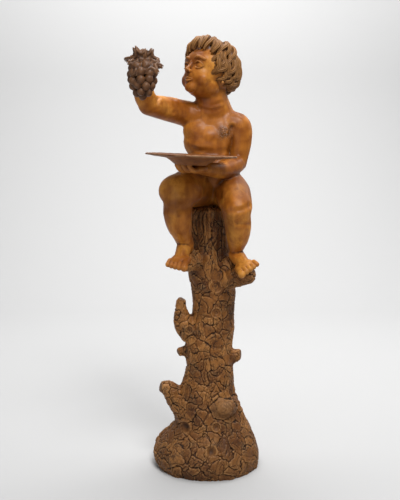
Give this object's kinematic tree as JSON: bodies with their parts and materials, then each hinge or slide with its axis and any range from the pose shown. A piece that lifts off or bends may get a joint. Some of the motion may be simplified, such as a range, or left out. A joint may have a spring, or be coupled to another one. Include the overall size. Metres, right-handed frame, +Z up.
{
  "type": "cupid statue on pedestal",
  "caption": "Carved wooden putto seated on a bark-covered tree stump, raising a bunch of grapes in one hand and carrying a broad dish in the other.",
  "frame": {"origin": "on the ground, in the middle of the stump's flat underside", "axes": "+Z up along the stump to the figure's head, -Y the side that the figure faces, +X the figure's own left"},
  "size_m": [0.3631, 0.432, 1.2099],
  "materials": {
    "bark_wood": "waxed carved bark with dark cracks",
    "carved_wood": "polished, with dark patina in the creases",
    "dish_wood": "worn and waxed",
    "dark_wood": "dark stained, dusty in the hollows"
  },
  "bodies": {
    "root": {"tree_stump_pedestal": "bark_wood", "putto_figure": "carved_wood", "dish": "dish_wood", "grape_bunch": "dark_wood"}
  },
  "joints": []
}
